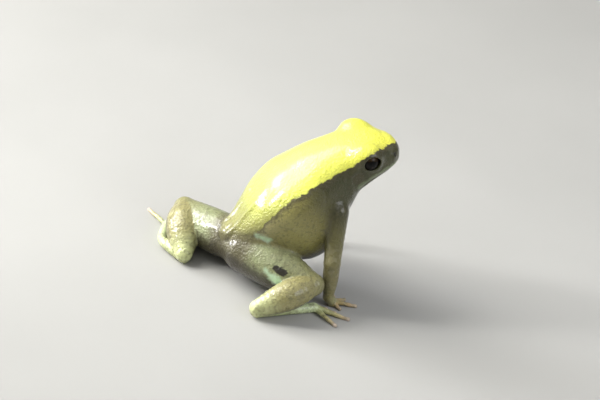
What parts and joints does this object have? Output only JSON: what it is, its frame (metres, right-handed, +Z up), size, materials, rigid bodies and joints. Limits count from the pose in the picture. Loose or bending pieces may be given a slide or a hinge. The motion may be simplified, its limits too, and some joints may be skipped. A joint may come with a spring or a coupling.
{
  "type": "green mantella frog",
  "caption": "Life-size still model of a small plump frog with a raised forebody, folded hind legs and slim arms.",
  "frame": {"origin": "middle of the underside of the animal's box, at the level of the floor", "axes": "+X towards the snout, +Y to the animal's left, +Z up"},
  "size_m": [0.029, 0.0284, 0.0223],
  "materials": {
    "skin_yellow": "wet, glossy skin, yellow above and black along the side",
    "skin_olive": "wet, glossy skin, olive brown",
    "eye": "clear and wet, nearly black"
  },
  "bodies": {
    "root": {"torso": "skin_yellow", "head": "skin_yellow", "eye_left": "eye", "upper_arm_left": "skin_olive", "forearm_left": "skin_olive", "hand_left": "skin_olive", "thigh_left": "skin_olive", "shank_left": "skin_olive", "foot_left": "skin_olive", "eye_right": "eye", "upper_arm_right": "skin_olive", "forearm_right": "skin_olive", "hand_right": "skin_olive", "thigh_right": "skin_olive", "shank_right": "skin_olive", "foot_right": "skin_olive"}
  },
  "joints": []
}
